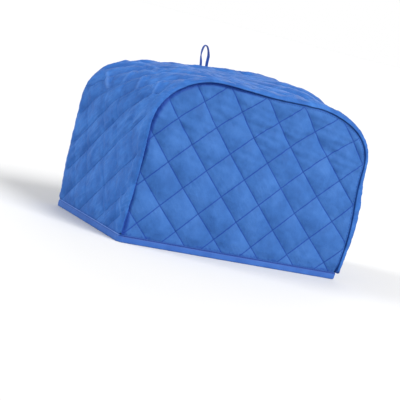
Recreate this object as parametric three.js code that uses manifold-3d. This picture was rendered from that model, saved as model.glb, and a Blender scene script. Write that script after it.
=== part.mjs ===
// A quilted cloth cover that stands on its bound hem like a soft open box.
// Front and back panels sit inside one long gusset strip, which runs up the left end,
// over the top and down the right end. All sizes are in millimetres, +Z is up, the
// front faces -Y, and the hem stands on Z = 0.
import * as THREE from "three";
import { mergeVertices } from "three/addons/utils/BufferGeometryUtils.js";
import Module from "manifold-3d";

const wasm = await Module();
wasm.setup();

// Driving sizes of the sewn cover
const WIDTH = 286;
const DEPTH = 194;
const HEIGHT = 197;
const SHOULDER = { across: 79, down: 63 };
// The uneven cloth's box is this far off the middle of its pattern.
const BOX_MIDDLE = { x: 2.6, y: 0 };

// Quilted cloth: two faces with wadding between, stitched in diamonds
const CLOTH = 1.4;
const PUFF_OUT = 2.1;
const PUFF_IN = 0.5;
const FLAT_PUFF = 0.08;
const LOFT_FADE = 12;
const STEPS = 4;

// Where the diamonds fall: a crossing, then the ways to the next ones along and across
const PANEL_QUILT = { start: [-134.2, 173.8], along: [49.7, -1.2], across: [-2.6, 49.9] };
const GUSSET_QUILT = { start: [100.7, 104.6], along: [49.5, -17], across: [0, 45] };

// The seam that joins a panel to the gusset: a rolled edge that stands proud
const ROLL = { wide: 8, rise: 4.8, sides: 8, steps: 48, hemShare: 0.55, hemFade: 40 };
const PANEL_INSET = 4.5;
const SEAM_GAP = 0.9;

// Hem binding: tape folded over the lower edge of the cloth
const TAPE = 0.9;
const HEM = { high: 9.2, gap: 0.3, corner: 4.2, step: 11 };

// Hanging loop: a folded tape caught in the middle of the back seam
const LOOP = {
  tall: 26, foot: 7, wide: 9.8, sewnIn: 3, steps: 28,
  tape: 3.6, thick: 1.1, turned: 1.2,
  // shares of the half turn by which it is at its widest and lies on edge, and its top's roundness
  widest: 0.45, onEdge: 0.7, round: 0.62,
};

const GAP = 0.3;
// Cloth is first made this far past its outline, then cut to it.
const SPARE = 14;
const ABOVE_ALL = HEIGHT * 1.5;
const OUTLINE_STEPS = 96;
const COLOURS = { cloth: 0x4377c4, binding: 0x4168bd, loop: 0x3a5fb2 };

// How the sewn cloth has sagged and swelled, each row a soft swell about a place
const DRAPE = [
  { name: "front crown dips", at: [10, -97, 197], reach: [50, 90, 60], push: [0, 0, -3] },
  { name: "front right shoulder out", at: [130, -97, 160], reach: [40, 90, 50], push: [6, 0, 0] },
  { name: "front right shoulder down", at: [95, -97, 190], reach: [50, 90, 60], push: [0, 0, -4.5] },
  { name: "back left crown down", at: [-100, 97, 190], reach: [50, 90, 60], push: [0, 0, -8] },
  { name: "back crown dips", at: [-30, 97, 197], reach: [50, 90, 60], push: [0, 0, -3] },
  { name: "back right crown up", at: [50, 97, 197], reach: [60, 90, 60], push: [0, 0, 4] },
  { name: "back right shoulder up", at: [125, 97, 180], reach: [50, 90, 60], push: [0, 0, 14.5] },
  { name: "top right swells", at: [85, -15, 197], reach: [60, 60, 60], push: [0, 0, 10] },
  { name: "top left swells", at: [-50, 0, 197], reach: [60, 60, 60], push: [0, 0, 4] },
  { name: "left end swells", at: [-143, 40, 120], reach: [60, 80, 60], push: [-1, 0, 0] },
  { name: "left end front drawn in", at: [-143, -97, 100], reach: [40, 50, 60], push: [2, 0, 0] },
  { name: "right end swells low", at: [143, -70, 55], reach: [50, 50, 50], push: [7.5, 0, 0] },
  { name: "right end drawn in", at: [143, -60, 130], reach: [50, 60, 50], push: [-3, 0, 0] },
  { name: "front belly", at: [10, -97, 85], reach: [110, 30, 75], push: [0, -4, 0] },
  { name: "back belly", at: [-10, 97, 90], reach: [110, 30, 75], push: [0, 4, 0] },
];
const FULL_SAG_HEIGHT = 60;

const smooth = (t) => {
  const c = Math.min(Math.max(t, 0), 1);
  return c * c * (3 - 2 * c);
};

// Moves a point of the sewn form by every row of the drape table; the hem stays level.
function drape([x, y, z]) {
  const moved = [x, y, z];
  const sag = Math.min(Math.max(z / FULL_SAG_HEIGHT, 0), 1);
  for (const { at, reach, push } of DRAPE) {
    const d2 = [x, y, z].reduce((sum, v, k) => sum + ((v - at[k]) / reach[k]) ** 2, 0);
    const share = Math.exp(-d2);
    moved[0] += push[0] * share;
    moved[1] += push[1] * share;
    moved[2] += push[2] * share * sag;
  }
  return moved;
}

// The arch that the gusset follows: up the left end, over the top, down the right end
const SIDE = HEIGHT - SHOULDER.down;
const CROWN = WIDTH - 2 * SHOULDER.across;
const arch = new THREE.CurvePath();
arch.add(new THREE.LineCurve(new THREE.Vector2(-WIDTH / 2, 0), new THREE.Vector2(-WIDTH / 2, SIDE)));
arch.add(new THREE.EllipseCurve(
  -CROWN / 2, SIDE, SHOULDER.across, SHOULDER.down, Math.PI, Math.PI / 2, true));
arch.add(new THREE.LineCurve(new THREE.Vector2(-CROWN / 2, HEIGHT), new THREE.Vector2(CROWN / 2, HEIGHT)));
arch.add(new THREE.EllipseCurve(
  CROWN / 2, SIDE, SHOULDER.across, SHOULDER.down, Math.PI / 2, 0, true));
arch.add(new THREE.LineCurve(new THREE.Vector2(WIDTH / 2, SIDE), new THREE.Vector2(WIDTH / 2, 0)));
arch.arcLengthDivisions = 2000;
const ARCH_LENGTH = arch.getLength();

// A point of the arch at length s, moved out by n; past its ends it runs on straight down.
function onArch(s, n) {
  const past = s < 0 ? s : Math.max(s - ARCH_LENGTH, 0);
  const share = Math.min(Math.max(s / ARCH_LENGTH, 0), 1);
  const point = arch.getPointAt(share);
  const side = arch.getTangentAt(Math.min(Math.max(share, 1e-4), 1 - 1e-4));
  return [point.x - side.y * n, point.y + side.x * n - Math.abs(past)];
}

// Loft of the wadding at a place in a pattern of diamonds: 0 on a stitch line, 1 in a middle.
function puff(u, v) {
  const a = Math.abs(Math.sin(Math.PI * (u + v)));
  const b = Math.abs(Math.sin(Math.PI * (u - v)));
  return Math.sqrt(a * b);
}

function manifoldOf(positions, indices) {
  const geometry = new THREE.BufferGeometry();
  geometry.setAttribute("position", new THREE.Float32BufferAttribute(positions, 3));
  geometry.setIndex(indices);
  const merged = mergeVertices(geometry, 1e-4);
  return new wasm.Manifold(new wasm.Mesh({
    numProp: 3,
    vertProperties: new Float32Array(merged.attributes.position.array),
    triVerts: new Uint32Array(merged.index.array),
  }));
}

// A slab of quilted cloth on the lattice of its diamonds. place(u, v) gives the cloth's
// middle point, the way out and the share of full loft there; the outer and inner faces
// lie off it, and its squares are split so that their diagonals follow the stitching.
function quiltedSlab(quilt, uRange, vRange, wanted, place) {
  const positions = [];
  const indices = [];
  const known = new Map();
  const corner = (i, j) => {
    const key = `${i},${j}`;
    if (!known.has(key)) {
      const u = i / STEPS;
      const v = j / STEPS;
      const { point, out, loft } = place(
        quilt.start[0] + u * quilt.along[0] + v * quilt.across[0],
        quilt.start[1] + u * quilt.along[1] + v * quilt.across[1]);
      const rise = puff(u, v) * loft;
      known.set(key, positions.length / 3);
      for (const off of [CLOTH / 2 + PUFF_OUT * rise, -CLOTH / 2 - PUFF_IN * rise]) {
        positions.push(...point.map((value, k) => value + out[k] * off));
      }
    }
    return known.get(key);
  };
  const edges = new Map();
  const face = (a, b, c) => {
    indices.push(a, b, c, a + 1, c + 1, b + 1);
    for (const [p, q] of [[a, b], [b, c], [c, a]]) {
      if (!edges.delete(`${q},${p}`)) {
        edges.set(`${p},${q}`, [p, q]);
      }
    }
  };
  for (let i = uRange[0]; i < uRange[1]; i++) {
    for (let j = vRange[0]; j < vRange[1]; j++) {
      const middle = [0, 1].map((k) =>
        quilt.start[k] + ((i + 0.5) * quilt.along[k] + (j + 0.5) * quilt.across[k]) / STEPS);
      if (wanted(...middle)) {
        const [a, b, c, d] = [corner(i, j), corner(i + 1, j), corner(i + 1, j + 1), corner(i, j + 1)];
        if ((i + j) % 2 === 0) {
          face(a, b, c);
          face(a, c, d);
        } else {
          face(a, b, d);
          face(b, c, d);
        }
      }
    }
  }
  for (const [p, q] of edges.values()) {
    indices.push(q, p, p + 1, q, p + 1, q + 1);
  }
  return manifoldOf(positions, facingOut(positions, indices));
}

// Turns every triangle round where a closed form would enclose less than nothing.
function facingOut(positions, indices) {
  const at = (k) => new THREE.Vector3().fromArray(positions, 3 * k);
  let volume = 0;
  for (let k = 0; k < indices.length; k += 3) {
    volume += at(indices[k]).dot(at(indices[k + 1]).cross(at(indices[k + 2])));
  }
  return volume < 0 ? indices.toReversed() : indices;
}

// Carries a closed, convex section along frames {point, side, up}, and caps the ends
// unless the frames run in a ring.
function sweep(frames, section, closed) {
  const positions = [];
  const indices = [];
  const count = section.length;
  for (const { point, side, up, scale = 1 } of frames) {
    for (const [a, b] of section) {
      positions.push(...point.map((value, k) => value + (side[k] * a + up[k] * b) * scale));
    }
  }
  const rings = closed ? frames.length : frames.length - 1;
  for (let r = 0; r < rings; r++) {
    for (let k = 0; k < count; k++) {
      const next = ((r + 1) % frames.length) * count;
      const a = r * count + k;
      const b = r * count + ((k + 1) % count);
      const c = next + ((k + 1) % count);
      const d = next + k;
      indices.push(a, b, c, a, c, d);
    }
  }
  if (!closed) {
    const last = (frames.length - 1) * count;
    for (let k = 1; k < count - 1; k++) {
      indices.push(0, k + 1, k, last, last + k, last + k + 1);
    }
  }
  return manifoldOf(positions, facingOut(positions, indices));
}

// A straight prism of an outline in X and Z, from one depth to another
function prism(outline, fromY, toY) {
  const shape = new THREE.Shape(outline.map(([x, z]) => new THREE.Vector2(x, z)));
  const solid = new THREE.ExtrudeGeometry(shape, { depth: toY - fromY, bevelEnabled: false });
  solid.rotateX(Math.PI / 2);
  solid.translate(0, toY, 0);
  solid.deleteAttribute("normal");
  solid.deleteAttribute("uv");
  const merged = mergeVertices(solid, 1e-4);
  return manifoldOf(merged.attributes.position.array, Array.from(merged.index.array));
}

const box = (x, y, z) => prism([[-x, z[0]], [x, z[0]], [x, z[1]], [-x, z[1]]], y[0], y[1]);

// The hem's line in plan, an even rectangle with small round corners
function hemLine() {
  const x = WIDTH / 2;
  const y = DEPTH / 2 - PANEL_INSET;
  const r = HEM.corner;
  const plan = new THREE.Path();
  plan.moveTo(-x + r, -y);
  plan.lineTo(x - r, -y);
  plan.absarc(x - r, -y + r, r, -Math.PI / 2, 0);
  plan.lineTo(x, y - r);
  plan.absarc(x - r, y - r, r, 0, Math.PI / 2);
  plan.lineTo(-x + r, y);
  plan.absarc(-x + r, y - r, r, Math.PI / 2, Math.PI);
  plan.lineTo(-x, -y + r);
  plan.absarc(-x + r, -y + r, r, Math.PI, Math.PI * 1.5);
  const frames = [];
  const cornerSteps = 4;
  for (const piece of plan.curves) {
    const steps = piece.isLineCurve ? Math.round(piece.getLength() / HEM.step) : cornerSteps;
    for (let k = 0; k < steps; k++) {
      const at = piece.getPoint(k / steps);
      const along = piece.getTangent(k / steps);
      frames.push({ point: [at.x, at.y, 0], side: [along.y, -along.x, 0], up: [0, 0, 1] });
    }
  }
  return frames;
}

// Below the binding's top the cloth is only what lies between the two walls of the tape.
function insideHem() {
  const half = CLOTH / 2 + PUFF_OUT * FLAT_PUFF;
  const low = TAPE + HEM.gap;
  const above = HEM.high + HEM.gap;
  const into = above + 1;
  const channel = sweep(hemLine(), [[-half, low], [half, low], [half, into], [-half, into]], true);
  return channel.add(box(WIDTH, [-DEPTH, DEPTH], [above, ABOVE_ALL]));
}

// The loft fades where the binding presses the cloth flat.
const loftAt = (z) => FLAT_PUFF + (1 - FLAT_PUFF) * smooth((z - HEM.high) / LOFT_FADE);

function archOutline(offset) {
  const outline = [];
  for (let k = 0; k <= OUTLINE_STEPS; k++) {
    outline.push(onArch((ARCH_LENGTH * k) / OUTLINE_STEPS, offset));
  }
  return outline.reverse();
}

// One panel, cut to the arch less the seam gap. facing is -1 for the front, 1 for the back.
function panel(facing, keep) {
  const y = facing * (DEPTH / 2 - PANEL_INSET);
  const slab = quiltedSlab(
    PANEL_QUILT, [-2 * STEPS, 8 * STEPS], [-5 * STEPS, 2 * STEPS],
    (x, z) => Math.abs(x) < WIDTH / 2 + SPARE && z > -SPARE && z < HEIGHT + SPARE,
    (x, z) => ({ point: [-x * facing, y, z], out: [0, facing, 0], loft: loftAt(z) }));
  const cut = prism(archOutline(-CLOTH / 2 - SEAM_GAP), y - DEPTH / 4, y + DEPTH / 4);
  return slab.intersect(cut).intersect(keep);
}

// The rolled seam on one edge of the gusset: a flattened round carried along the arch
function seamRoll(facing) {
  const section = [];
  for (let k = 0; k < ROLL.sides; k++) {
    const turn = (2 * Math.PI * k) / ROLL.sides;
    const across = (ROLL.wide / 2) * Math.cos(turn);
    const out = Math.sin(turn) > 0 ? ROLL.rise * Math.sin(turn) : (CLOTH / 2) * Math.sin(turn);
    section.push([across * facing, out]);
  }
  const frames = [];
  for (let k = 0; k <= ROLL.steps; k++) {
    const s = (ARCH_LENGTH * k) / ROLL.steps;
    const base = onArch(s, 0);
    const out = onArch(s, 1);
    const height = smooth((base[1] - HEM.high) / ROLL.hemFade);
    frames.push({
      point: [base[0], facing * (DEPTH / 2 - ROLL.wide / 2), base[1]],
      side: [0, 1, 0],
      up: [out[0] - base[0], 0, out[1] - base[1]],
      scale: ROLL.hemShare + (1 - ROLL.hemShare) * height,
    });
  }
  return sweep(frames, section, false);
}

// The run of the loop's tape: two legs close together in the seam, wider halfway up
function loopPoints() {
  const points = [];
  const foot = HEIGHT + ROLL.rise - LOOP.sewnIn;
  for (let k = 0; k <= LOOP.steps; k++) {
    const turn = (Math.PI * k) / LOOP.steps;
    const apart = LOOP.foot + (LOOP.wide - LOOP.foot) * smooth(Math.sin(turn) / LOOP.widest);
    points.push(new THREE.Vector3(
      -(apart / 2) * Math.cos(turn), DEPTH / 2 - ROLL.wide / 2,
      foot + (LOOP.tall + LOOP.sewnIn) * Math.sin(turn) ** LOOP.round));
  }
  return points;
}

// The tape lies flat along the seam at its feet and turns on edge to go round the top.
function hangingLoop(grow) {
  const points = loopPoints();
  const half = LOOP.tape / 2 + grow;
  const thin = LOOP.thick / 2 + grow;
  const section = [[-half, -thin], [half, -thin], [half, thin], [-half, thin]];
  const frames = points.map((point, k) => {
    const next = points[Math.min(k + 1, LOOP.steps)];
    const along = next.clone().sub(points[Math.max(k - 1, 0)]).normalize();
    if (k === 0 || k === LOOP.steps) {
      along.set(0, 0, k === 0 ? 1 : -1);
    }
    const turned = LOOP.turned * (1 - smooth(Math.sin((Math.PI * k) / LOOP.steps) / LOOP.onEdge));
    const hand = k < LOOP.steps / 2 ? 1 : -1;
    const side = new THREE.Vector3(Math.sin(turned) * hand, Math.cos(turned), 0);
    side.addScaledVector(along, -side.dot(along)).normalize();
    const up = new THREE.Vector3().crossVectors(along, side);
    return { point: point.toArray(), side: side.toArray(), up: up.toArray() };
  });
  return sweep(frames, section, false);
}

function gusset(keep) {
  const slab = quiltedSlab(
    GUSSET_QUILT, [-3 * STEPS, 11 * STEPS], [-5 * STEPS, 8 * STEPS],
    (s, y) => s > -SPARE && s < ARCH_LENGTH + SPARE && y > -SPARE && y < DEPTH + SPARE,
    (s, y) => {
      const point = onArch(s, 0);
      const out = onArch(s, 1);
      return {
        point: [point[0], y - DEPTH / 2, point[1]],
        out: [out[0] - point[0], 0, out[1] - point[1]],
        loft: loftAt(point[1]),
      };
    });
  const edge = DEPTH / 2 - ROLL.wide / 2;
  const strip = slab.intersect(box(WIDTH, [-edge, edge], [-DEPTH, ABOVE_ALL]));
  const pocket = hangingLoop(GAP);
  return strip.add(seamRoll(-1)).add(seamRoll(1)).intersect(keep).subtract(pocket);
}

// The binding: a U of tape around the cloth's lower edge, flat underneath
function hemBinding() {
  const inner = CLOTH / 2 + PUFF_OUT * FLAT_PUFF + HEM.gap;
  const outer = inner + TAPE;
  return sweep(hemLine(), [
    [-outer, 0], [outer, 0], [outer, HEM.high], [inner, HEM.high],
    [inner, TAPE], [-inner, TAPE], [-inner, HEM.high], [-outer, HEM.high],
  ], true);
}

// Turns a finished solid into a mesh in its draped place.
function meshOf(name, solid, colour, roughness) {
  const { vertProperties, triVerts } = solid.getMesh();
  const positions = [];
  for (let k = 0; k < vertProperties.length; k += 3) {
    positions.push(...drape(Array.from(vertProperties.slice(k, k + 3))));
  }
  const geometry = new THREE.BufferGeometry();
  geometry.setAttribute("position", new THREE.Float32BufferAttribute(positions, 3));
  geometry.setIndex(Array.from(triVerts));
  geometry.computeVertexNormals();
  const material = new THREE.MeshStandardMaterial({ color: colour, roughness, metalness: 0 });
  const mesh = new THREE.Mesh(geometry, material);
  mesh.name = name;
  return mesh;
}

const keep = insideHem();
const cover = new THREE.Group();
cover.add(meshOf("front_panel", panel(-1, keep), COLOURS.cloth, 0.6));
cover.add(meshOf("back_panel", panel(1, keep), COLOURS.cloth, 0.6));
cover.add(meshOf("gusset", gusset(keep), COLOURS.cloth, 0.6));
cover.add(meshOf("hem_binding", hemBinding(), COLOURS.binding, 0.65));
cover.add(meshOf("hanging_loop", hangingLoop(0), COLOURS.loop, 0.65));
cover.position.set(-BOX_MIDDLE.x, -BOX_MIDDLE.y, 0);

export default cover;
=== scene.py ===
"""A quilted satin cover with an arched front and back, a padded gusset, a bound hem and a hanging loop.

Shapes are worked out in millimetres in the cover's sewing pattern, draped, and put into the meshes in metres.
"""

import math

import bpy
import numpy as np
from mathutils import Matrix


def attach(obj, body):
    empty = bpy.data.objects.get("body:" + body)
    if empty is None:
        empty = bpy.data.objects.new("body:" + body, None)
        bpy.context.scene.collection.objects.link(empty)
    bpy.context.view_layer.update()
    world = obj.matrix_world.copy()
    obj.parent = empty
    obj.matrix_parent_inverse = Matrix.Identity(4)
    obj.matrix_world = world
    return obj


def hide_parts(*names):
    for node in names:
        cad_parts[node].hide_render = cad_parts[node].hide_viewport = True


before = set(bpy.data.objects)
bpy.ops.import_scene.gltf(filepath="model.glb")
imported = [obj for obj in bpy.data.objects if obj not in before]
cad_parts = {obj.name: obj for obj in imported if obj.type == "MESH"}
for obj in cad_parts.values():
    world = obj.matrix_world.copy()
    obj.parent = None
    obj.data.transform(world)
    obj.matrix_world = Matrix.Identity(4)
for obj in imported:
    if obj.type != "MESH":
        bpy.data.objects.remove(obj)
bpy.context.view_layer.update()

# The view: a long lens to the left of the front, looking 6.5 degrees down and rolled by 14.5
# degrees, so that the level hem runs askew across the picture.
LENS_MM, SENSOR_MM, SEES_METRES = 144, 36, 200
CAMERA_AT = (-0.9093, -1.6730, 0.2684)
LOOK_AZIMUTH, LOOK_DOWN, ROLLED = math.radians(28.29), math.radians(6.53), math.radians(14.45)


def turned_to(right, top, back, at):
    """The placing matrix whose columns are the ways right, up and back, and the place."""
    columns = np.eye(4)
    columns[:3] = np.stack([right, top, back, at], -1)
    return Matrix(columns.tolist())


level = np.array([math.cos(LOOK_AZIMUTH), -math.sin(LOOK_AZIMUTH), 0.0])
ahead = np.array([math.sin(LOOK_AZIMUTH), math.cos(LOOK_AZIMUTH), 0.0])
forward = ahead * math.cos(LOOK_DOWN) - np.array([0.0, 0.0, math.sin(LOOK_DOWN)])
upright = np.cross(level, forward)
right = level * math.cos(ROLLED) + upright * math.sin(ROLLED)
up = upright * math.cos(ROLLED) - level * math.sin(ROLLED)
camera_data = bpy.data.cameras.new("camera")
camera_data.lens = LENS_MM
camera_data.sensor_width = SENSOR_MM
camera_data.clip_end = SEES_METRES
camera = bpy.data.objects.new("camera", camera_data)
camera.matrix_world = turned_to(right, up, -forward, CAMERA_AT)
bpy.context.scene.collection.objects.link(camera)
bpy.context.scene.camera = camera
bpy.context.scene.view_settings.view_transform = "Standard"

# The front panel: quilted satin, two faces with wadding between them, sewn through in 35 mm
# diamonds. It lies 4.5 mm behind the rolled edge of the gusset and dips into the seam there.
MM = 0.001
WIDTH, DEPTH, HEIGHT = 286.0, 194.0, 197.0
SHOULDER_ACROSS, SHOULDER_DOWN = 79.0, 63.0  # the radii of a shoulder's quarter ellipse
SIDE, CROWN = HEIGHT - SHOULDER_DOWN, WIDTH - 2 * SHOULDER_ACROSS
SHOULDER_STEPS = 500
BOX_MIDDLE_X = 2.6
CLOTH, PUFF_OUT, PUFF_IN = 1.4, 2.9, 0.5  # the cloth pressed flat, and its puffs to each side
PUFF_LEAST, PUFF_MOST = 0.78, 1.12  # the share of loft in the flattest and the fullest diamond
FLAT_PUFF, LOFT_FADE = 0.06, 12.0  # the share of loft in the hem, and how far up it is full
LINE_DEEP, LINE_WIDE = 0.35, 0.9
PUCKER_SHORT, PUCKER_LONG, PUCKER_FADE = 3.6, 7.5, 4.5
WAVE_LONG, WAVE_SHORT = 24, 10
HEM_HIGH, HEM_TIGHT = 8.4, CLOTH / 2 + 0.17
PANEL_INSET, PANEL_EDGE, PANEL_LOW = 4.5, 1.0, 2.5  # behind the roll, in from the arch, up from the hem
PANEL_COLUMNS, PANEL_ROWS = 282, 156
# a quilt is one crossing of its lines, the steps to the next crossings across and up, and how far
# lines -3 to 4 of each family lie off their even steps
PANEL_QUILT = ((-134.2, 173.8), (49.7, -1.2), (-2.6, 49.9), np.zeros(8), np.zeros(8))
SWAY_CROWN, SWAY_MIDDLE = 5.5, 3.3
SEAM_DIP, GATHER_SHORT, GATHER_LONG, GATHER_FADE = 5, 4.2, 9, 6.5
DRAG_HIGH, DRAG_APART = 1.1, 6.5
SEAM_FULLER, FULLER_REACH = 2.6, 20
# how far the painted shade of the seam reaches in, and how much further on the left, in the low corner
# and at the shoulder
SEAM_DARK, DARK_LEFT, DARK_CORNER, DARK_SHOULDER = 1.5, 1.0, 4.0, 4.6

DRAPE = (  # where, how far it reaches, how far it pushes
    ((10, -97, 197), (50, 90, 60), (0, 0, -3)),  # front crown dips
    ((130, -97, 160), (40, 90, 50), (6, 0, 0)),  # front right shoulder out
    ((95, -97, 190), (50, 90, 60), (0, 0, -4.5)),  # front right shoulder down
    ((-100, 97, 190), (50, 90, 60), (0, 0, -8)),  # back left crown down
    ((-30, 97, 197), (50, 90, 60), (0, 0, -3)),  # back crown dips
    ((50, 97, 197), (60, 90, 60), (0, 0, 4)),  # back right crown up
    ((125, 97, 180), (50, 90, 60), (0, 0, 14.5)),  # back right shoulder up
    ((85, -15, 197), (60, 60, 60), (0, 0, 10)),  # top right swells
    ((-50, 0, 197), (60, 60, 60), (0, 0, 4)),  # top left swells
    ((-143, 40, 120), (60, 80, 60), (-1, 0, 0)),  # left end swells
    ((-143, -97, 100), (40, 50, 60), (2, 0, 0)),  # left end front drawn in
    ((143, -70, 55), (50, 50, 50), (7.5, 0, 0)),  # right end swells low
    ((143, -60, 130), (50, 60, 50), (-0.8, 0, 0)),  # right end drawn in
    ((10, -97, 85), (110, 30, 75), (0, -4, 0)),  # front belly
    ((-10, 97, 90), (110, 30, 75), (0, 4, 0)),  # back belly
    ((-112, 88, 176), (30, 60, 40), (-3.6, 0, 3.2)),  # back left shoulder stands out again
    ((-45, 90, 197), (32, 60, 40), (0, 0, 1.2)),  # and the crown beside it
    ((143, -97, 135), (30, 14, 42), (-2.8, 0, 0)),  # front right seam drawn in
    ((0, 97, 197), (45, 60, 60), (0, 0, 2)),  # back seam lifted where the loop is caught
)
FULL_SAG_HEIGHT = 60.0  # from here up a push in Z counts in full


def smooth(t):
    """Three t squared less two t cubed, held to 0 below t = 0 and to 1 above t = 1."""
    t = np.clip(t, 0, 1)
    return t * t * (3 - 2 * t)


def drape(points):
    """Adds each row's push times exp(-sum of ((point - where) / reach) squared); the push in Z grows
    from nothing at the hem to all of it 60 mm up. Last, the pattern is moved to its box's middle."""
    moved = points.copy()
    sag = np.clip(points[..., 2] / FULL_SAG_HEIGHT, 0, 1)
    for where, reach, push in DRAPE:
        share = np.exp(-(((points - where) / reach) ** 2).sum(-1))
        moved[..., 0] += push[0] * share
        moved[..., 1] += push[1] * share
        moved[..., 2] += push[2] * share * sag
    moved[..., 0] -= BOX_MIDDLE_X
    return moved


turn = np.linspace(0, math.pi / 2, SHOULDER_STEPS)
shoulder_x = SHOULDER_ACROSS * (1 - np.cos(turn)) - WIDTH / 2
shoulder = np.stack([shoulder_x, SIDE + SHOULDER_DOWN * np.sin(turn)], -1)
arch = np.concatenate([[[-WIDTH / 2, 0]], shoulder, shoulder[::-1] * [-1, 1], [[WIDTH / 2, 0]]])
arch_run = np.concatenate([[0], np.cumsum(np.linalg.norm(np.diff(arch, axis=0), axis=1))])
ARCH_LENGTH = arch_run[-1]
shoulder_run = arch_run[1 : SHOULDER_STEPS + 1] - SIDE


def arch_way_out(s):
    """The arch's normal at length s: the step from 1 mm before to 1 mm after, turned a quarter."""
    before, after = np.clip(s - 1, 0, ARCH_LENGTH), np.clip(s + 1, 0, ARCH_LENGTH)
    step_x = np.interp(after, arch_run, arch[:, 0]) - np.interp(before, arch_run, arch[:, 0])
    step_z = np.interp(after, arch_run, arch[:, 1]) - np.interp(before, arch_run, arch[:, 1])
    run = np.hypot(step_x, step_z)
    return -step_z / run, step_x / run


def on_arch(s, n):
    """The arch's point at length s, in X and Z, moved out by n along its normal."""
    out_x, out_z = arch_way_out(s)
    return np.interp(s, arch_run, arch[:, 0]) + out_x * n, np.interp(s, arch_run, arch[:, 1]) + out_z * n


def to_seam(x, z):
    """Distance in from the arch, and the length along it of the nearest point: beside the straight
    sides and under the crown it is the plain distance, and in a shoulder it is (1 - f) / |grad f| with
    f squared the sum of the squares of x and z over the ellipse's two radii."""
    across, above = np.abs(x) - CROWN / 2, z - SIDE
    ex, ez = np.maximum(across, 0) / SHOULDER_ACROSS, np.maximum(above, 0) / SHOULDER_DOWN
    f = np.maximum(np.hypot(ex, ez), 1e-6)
    slope = np.hypot(ex / SHOULDER_ACROSS, ez / SHOULDER_DOWN) / f
    in_shoulder = (1 - f) / np.maximum(slope, 1e-6)
    distance = np.where(above <= 0, WIDTH / 2 - np.abs(x), np.where(across <= 0, HEIGHT - z, in_shoulder))
    run = np.where(above <= 0, z, SIDE + np.interp(np.arctan2(ez, ex), turn, shoulder_run))
    run = run + np.where((above > 0) & (across < 0), -across, 0)
    return distance, np.where(x < 0, run, ARCH_LENGTH - run)


def ripple(x, y, seed):
    """Gradient noise from about -1 to 1: at each whole point a random slope, joined by a cubic fade."""
    turns = np.random.default_rng(seed).uniform(0, 2 * math.pi, (64, 64))
    x0, y0 = np.floor(x).astype(int), np.floor(y).astype(int)
    fx, fy = x - x0, y - y0

    def corner(i, j):
        angle = turns[(x0 + i) % 64, (y0 + j) % 64]
        return np.cos(angle) * (fx - i) + np.sin(angle) * (fy - j)

    low = corner(0, 0) + smooth(fx) * (corner(1, 0) - corner(0, 0))
    high = corner(0, 1) + smooth(fx) * (corner(1, 1) - corner(0, 1))
    return 1.5 * (low + smooth(fy) * (high - low))


UNEVEN_LINES = np.arange(-3, 5)


def diamonds(p, q, quilt):
    """The place of (p, q) in the stitching: a and b are whole numbers on the two families of lines,
    being the sum and the difference of the steps taken across and up. With them comes how many
    millimetres apart the lines of each family are."""
    (p0, q0), (ap, aq), (cp, cq), off_a, off_b = quilt
    size = ap * cq - aq * cp
    u = ((p - p0) * cq - (q - q0) * cp) / size
    v = ((q - q0) * ap - (p - p0) * aq) / size
    apart_a = abs(size) / math.hypot(cq - aq, ap - cp)
    apart_b = abs(size) / math.hypot(cq + aq, ap + cp)
    even = np.concatenate([[-40, -4], UNEVEN_LINES, [5, 40]])
    a = np.interp(u + v, even + np.concatenate([[0, 0], off_a, [0, 0]]), even)
    b = np.interp(u - v, even + np.concatenate([[0, 0], off_b, [0, 0]]), even)
    return a, b, apart_a, apart_b


def in_pattern(a, b, quilt):
    """The point of the pattern at place (a, b) of the stitching."""
    (p0, q0), (ap, aq), (cp, cq), off_a, off_b = quilt
    a = a + np.interp(a, np.arange(-4, 6), np.concatenate([[0], off_a, [0]]))
    b = b + np.interp(b, np.arange(-4, 6), np.concatenate([[0], off_b, [0]]))
    u, v = (a + b) / 2, (a - b) / 2
    return p0 + u * ap + v * cp, q0 + u * aq + v * cq


def loft_at(z):
    """The share of full loft above the hem: next to none where the binding presses, all of it 12 mm up."""
    return FLAT_PUFF + (1 - FLAT_PUFF) * smooth((z - HEM_HIGH) / LOFT_FADE)


def quilted(p, q, quilt, seed, fullness=(0.72, 0.6), pucker=0.5, waves=0.8, faint=1.0):
    """Height of a quilted face over flat cloth. A pillow is |sin pi a| and |sin pi b|, each to the power
    of its fullness, times its own loft; a stitch line is pressed in by exp(-(distance / 0.9) squared),
    and short puckers run off it, noise along the line times exp(-distance / 4.5). Waves lie over all.
    The lines of family b are as faint as given."""
    a, b, apart_a, apart_b = diamonds(p, q, quilt)
    from_a, from_b = np.abs(a - np.rint(a)) * apart_a, np.abs(b - np.rint(b)) * apart_b
    pillow = np.abs(np.sin(math.pi * a)) ** fullness[0] * np.abs(np.sin(math.pi * b)) ** (fullness[1] * faint)
    lofts = np.random.default_rng(seed).uniform(PUFF_LEAST, PUFF_MOST, (40, 40))
    own = lofts[np.floor(a).astype(int) % 40, np.floor(b).astype(int) % 40]
    height = PUFF_OUT * pillow * own
    line_a, line_b = np.exp(-((from_a / LINE_WIDE) ** 2)), np.exp(-((from_b / LINE_WIDE) ** 2))
    height -= LINE_DEEP * np.maximum(line_a, faint * line_b)
    families = ((from_a, np.rint(a), b * apart_b, 1), (from_b, np.rint(b), a * apart_a, faint))
    for distance, line, along, share in families:
        short = ripple(along / PUCKER_SHORT, line * 5.3 + distance / 16, seed + 1)
        long = ripple(along / PUCKER_LONG, line * 3.1 + 9, seed + 2)
        fading = np.exp(-distance / PUCKER_FADE) * smooth(distance / 1.5)
        height += pucker * share * (short + 0.5 * long) * fading
    low_waves = ripple(p / WAVE_LONG, q / WAVE_LONG, seed + 3)
    height += waves * pillow * (low_waves + 0.45 * ripple(p / WAVE_SHORT, q / WAVE_SHORT, seed + 4))
    return height, a, b, pillow


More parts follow.
